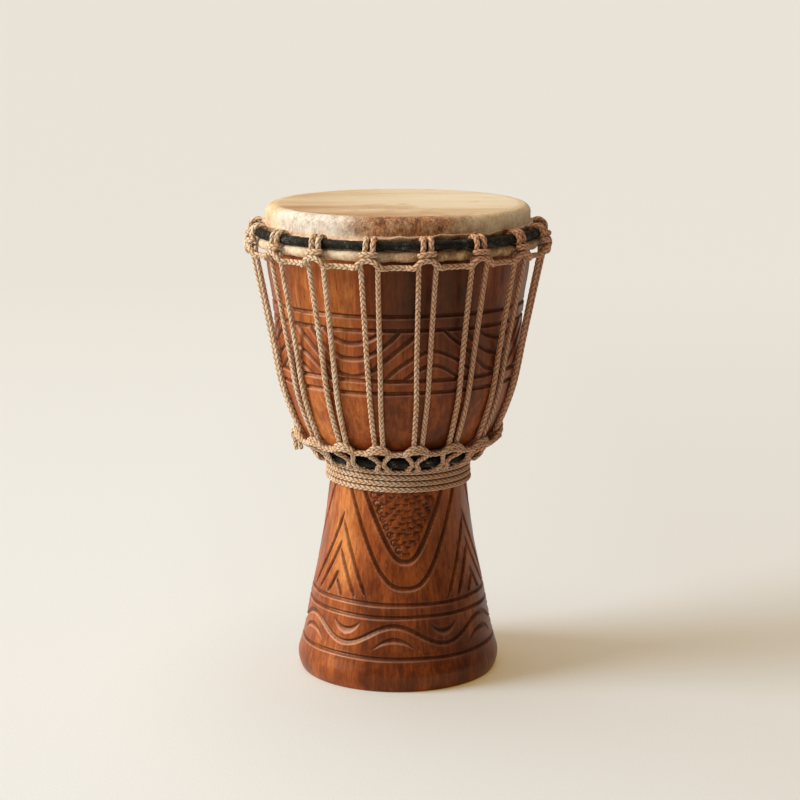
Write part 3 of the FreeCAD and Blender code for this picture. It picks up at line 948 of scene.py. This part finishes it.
def rope_material():
    """Tan plaited cord with painted shade browner towards +X; each strand shows its fibres and the gaps get
    painted shade.
    """
    m = Shader(bpy.data.materials.new("plaited_rope"))
    around, cells = m.split(m.node("ShaderNodeUVMap", uv_map="UVMap").outputs[0])[:2]
    around = m.times(around, STRANDS)
    a, b = m.add(around, cells), m.calc("SUBTRACT", around, cells)
    fa, fb = m.calc("FRACT", a), m.calc("FRACT", b)
    order = m.calc("FLOORED_MODULO", m.add(m.calc("FLOOR", a), m.calc("FLOOR", b)), 4.0)
    other = m.calc("GREATER_THAN", order, 1.5)
    side, along = m.mix(other, fa, fb), m.mix(other, fb, fa)
    along = m.times(m.add(along, m.calc("FLOORED_MODULO", order, 2.0)), math.pi / 2)
    across = m.calc("SINE", m.times(side, math.pi))
    ends = m.calc("POWER", m.calc("SINE", along), 0.6)
    height = m.times(m.calc("POWER", across, 0.6), m.add(m.times(ends, 0.6), 0.4))
    fibres = m.times(m.calc("SINE", m.times(side, 20.0)), 0.08)
    patch = m.noise(90, 4, 0.6)
    speck = m.noise(900, 3, 0.7)
    colour = m.ramp(patch, (0.3, 226, 178, 134), (0.5, 246, 214, 176), (0.7, 255, 242, 218))
    colour = m.blend(m.times(speck, 0.2), colour, rgb(150, 96, 60))
    # painted shade: browner towards +X, the drum's shaded side
    painted_shade_brown = m.remap(m.split(m.place)[0], -0.06, 0.08, 0.0, 1.2)
    colour = m.blend(m.times(painted_shade_brown, patch), colour, rgb(196, 110, 52))
    colour = m.blend(m.add(fibres, 0.08), colour, rgb(110, 74, 40))
    # painted shade in the gaps between the strands
    colour = m.blend(m.remap(height, 0.2, 0.72, 0.88, 0.0), colour, rgb(74, 34, 14))
    return m.surface(colour, 0.72, Normal=m.bump(m.add(height, fibres), 0.8, 0.0006),
                     Specular_IOR_Level=0.3, Sheen_Weight=0.15)


def skin_material():
    """Goatskin: cream and streaked on top, short mottled hair on the side, bare at the fold, with painted
    shade on the fold's right side and under the lip.
    """
    m = Shader(bpy.data.materials.new("goatskin"))

    # top
    streak = m.noise(26, 5, 0.55, (0.28, 1.3, 1), (0, 0, 0.12))
    cloud = m.noise(14, 4, 0.55, (0.6, 1, 1))
    x, y = m.split(m.place)[:2]
    used = m.add(m.remap(x, 0.02, -0.08, 0.0, 0.22), m.remap(y, 0.0, -0.1, 0.0, 0.26))
    shade = m.add(m.times(streak, 0.6), m.times(cloud, 0.4), m.times(used, 0.7))
    top = m.ramp(shade, (0.40, 233, 220, 194), (0.56, 225, 207, 175), (0.70, 205, 172, 130),
                 (0.86, 172, 124, 82))

    # hair on the side: tan, with a grey patch and a dark one
    hair = m.noise(620, 5, 0.75, (1, 1, 0.55))
    tuft = m.noise(120, 6, 0.7, (1, 1, 0.8))
    mixed = m.add(m.times(hair, 0.5), m.times(tuft, 0.5))
    tan = m.ramp(mixed, (0.36, 198, 162, 118), (0.5, 230, 202, 160), (0.64, 242, 224, 190))
    grey = m.ramp(mixed, (0.36, 170, 152, 136), (0.46, 222, 210, 196), (0.58, 246, 240, 230))
    dark = m.ramp(mixed, (0.38, 62, 28, 16), (0.48, 136, 82, 48), (0.57, 196, 140, 92),
                  (0.66, 232, 196, 142))
    blotch = m.times(m.add(m.noise(70, 6, 0.75, (1, 1, 0.9)), -0.5), 2.6)
    white = m.remap(m.add(m.attribute("white"), blotch), 0.1, 1.0)
    brown = m.remap(m.add(m.attribute("brown"), blotch), 0.1, 1.0)
    side = m.blend(brown, m.blend(white, tan, grey), dark)
    level = m.add(m.attribute("fur"), m.times(blotch, 0.35))
    furry = m.remap(level, 0.25, 0.8)
    colour = m.blend(furry, top, side)

    # freckles where the hair thins out
    golden = m.remap(m.calc("ABSOLUTE", m.add(level, -0.4)), 0.0, 0.45, 1.0, 0.0)
    rim = m.times(golden, m.calc("MAXIMUM", m.times(white, 0.7), brown))
    freckles = m.ramp(mixed, (0.42, 104, 56, 22), (0.52, 170, 112, 54), (0.62, 216, 172, 110))
    colour = m.blend(rim, colour, freckles)

    # fold and trimmed edge, with painted shade on the fold's right side and under the lip
    bare = m.ramp(mixed, (0.36, 176, 128, 88), (0.48, 230, 200, 164), (0.6, 250, 236, 212))
    aged = m.ramp(mixed, (0.38, 98, 60, 32), (0.48, 166, 122, 78), (0.58, 218, 182, 130))
    folded = m.attribute("folded")
    colour = m.blend(folded, colour, m.blend(m.attribute("aged"), bare, aged))
    lip = m.ramp(tuft, (0.4, 206, 160, 130), (0.6, 238, 212, 182))
    colour = m.blend(m.attribute("trimmed"), colour, lip)
    shaded = m.ramp(mixed, (0.4, 96, 58, 32), (0.5, 160, 116, 76), (0.62, 206, 172, 128))
    colour = m.blend(m.times(m.attribute("under"), 0.9), colour, shaded)

    relief = m.times(m.add(hair, tuft), m.add(m.calc("MAXIMUM", furry, folded), 0.06))
    return m.surface(colour, m.remap(furry, 0.0, 1.0, 0.5, 0.85), Normal=m.bump(relief, 0.7, 0.0011),
                     Subsurface_Weight=0.08, Subsurface_Radius=(0.004, 0.002, 0.001), Sheen_Weight=0.1)


def cloth_material():
    """Black woven strip, worn slightly grey on the laps."""
    m = Shader(bpy.data.materials.new("black_cloth"))
    weave, worn = m.noise(1100, 2, 0.6), m.noise(160, 5, 0.7)
    tone = m.add(m.times(weave, 0.5), m.times(worn, 0.5))
    colour = m.ramp(tone, (0.38, 5, 5, 4), (0.50, 18, 18, 15), (0.58, 44, 46, 42), (0.66, 126, 130, 126))
    colour = m.blend(m.remap(m.attribute("lap"), 0.2, 0.42, 0.0, 0.1), colour, rgb(60, 66, 64))
    return m.surface(colour, 0.65, Normal=m.bump(tone, 0.9, 0.0009),
                     Specular_IOR_Level=0.2, Specular_Tint=(1.0, 0.86, 0.68, 1.0))


def steel_material():
    """Plain steel rod of the rings, inside their cloth and skin."""
    m = Shader(bpy.data.materials.new("ring_steel"))
    drawn = m.noise(300, 4, 0.6)
    colour = m.ramp(drawn, (0.35, 96, 92, 88), (0.65, 150, 146, 140))
    return m.surface(colour, m.remap(drawn, 0.0, 1.0, 0.3, 0.55), Metallic=1.0)


def paper_material():
    """Pale paper of the floor, with painted shade a little darker towards +X and a faint warm glow of its
    own that is painted light lifting its shadow.
    """
    m = Shader(bpy.data.materials.new("floor_paper"))
    tint = m.ramp(m.noise(650.0, 2, 0.5), (0.35, 190, 209, 229), (0.65, 198, 216, 237))
    x, y = m.split(m.place)[:2]
    # painted shade: darker towards +X near the drum, evenly a little darker far away
    painted_floor_shade = m.mix(m.remap(y, 0.2, 2.2), m.remap(x, -0.25, 0.3, 0.0, 0.38), 0.2)
    # painted light: the warm emission lifts the floor's shadow
    return m.surface(m.blend(painted_floor_shade, tint, rgb(142, 156, 170)), 0.95, Specular_IOR_Level=0.1,
                     Emission_Color=(1.0, 0.56, 0.08, 1.0), Emission_Strength=0.25)


# ---- the drum ----
wood, rope, goatskin = wood_material(), rope_material(), skin_material()
cloth, steel = cloth_material(), steel_material()

stem, bowl = build_wood()
fit(stem, wood, "carved_wood", "shell")
fit(bowl, wood, "carved_wood", "shell")

skin = build_skin()
fit(skin, goatskin, "goatskin", "skin")

fit(build_wrap("crown_ring_cloth", CROWN_RING, 46, 1200, 41), cloth, "black_cloth", "crown_ring_wrap")
fit(build_wrap("lower_ring_cloth", LOWER_RING, 26, 760, 42), cloth, "black_cloth", "lower_ring_wrap")

legs = all_round(VERTICAL, (80.9, 203.2), 0.35, 3)
fit(add_rope("tuning_rope", [legs], ROPE, sides=12, step=0.8, closed=True), rope, "rope", "vertical_rope")
swags = all_round(CROWN_LOOP, (121.0, 362.0), 0.3, 4)
fit(add_rope("crown_loop", [swags], ROPE + 0.2, closed=True), rope, "rope", "crown_loop_rope")
humps = all_round(TIE_ROPE, (85.4, 203.4), 0.3, 5)
fit(add_rope("tie_cord", [humps], ROPE, closed=True), rope, "rope", "tie_rope")
fit(add_rope("tie_cord_knot", knot_routes(), ROPE, facing="carried"), rope, "rope", "tie_rope")
fit(add_rope("waist_rope", [waist_route()], ROPE, step=0.6), rope, "rope", "waist_wrap")
build_crown_hitches()
build_lower_hitches()

for name in ("flesh_ring", "crown_ring", "lower_ring"):
    core = cad[name]
    for slot in core.material_slots:
        slot.material = steel
    if not core.material_slots:
        core.data.materials.append(steel)

# ---- stage ----
FLOOR = 40.0                   # half the floor's side
floor_data = bpy.data.meshes.new("floor")
corners = [(-FLOOR, -FLOOR, 0), (FLOOR, -FLOOR, 0), (FLOOR, FLOOR, 0), (-FLOOR, FLOOR, 0)]
floor_data.from_pydata(corners, [], [(0, 1, 2, 3)])
floor = bpy.data.objects.new("floor", floor_data)
bpy.context.scene.collection.objects.link(floor)
floor_data.materials.append(paper_material())


def add_sun(name, energy, spread, tilt, heading, colour):
    """Large distant soft light; tilt is from straight down, heading turns it about Z."""
    data = bpy.data.lights.new(name, "SUN")
    data.energy = energy
    data.angle = math.radians(spread)
    data.color = colour
    light = bpy.data.objects.new(name, data)
    light.rotation_euler = (math.radians(tilt), 0.0, math.radians(heading))
    bpy.context.scene.collection.objects.link(light)


add_sun("key", 3.15, 30, 62, -80, (1.0, 0.965, 0.90))
add_sun("top", 1.4, 60, 14, -130, (1.0, 0.91, 0.78))

bpy.context.scene.view_settings.view_transform = "Standard"
world = bpy.data.worlds.new("studio")
sky = Shader(world, "Generated")
bright_side = sky.node("ShaderNodeVectorMath", {0: sky.place, 1: (-0.75, 0.25, 0.6)},
                       operation="DOT_PRODUCT").outputs["Value"]
background = world.node_tree.nodes["Background"]
sky.feed(background.inputs["Color"], (1.0, 0.80, 0.58, 1.0))
sky.feed(background.inputs["Strength"], sky.remap(bright_side, -0.5, 1.0, 0.05, 0.42))
bpy.context.scene.world = world
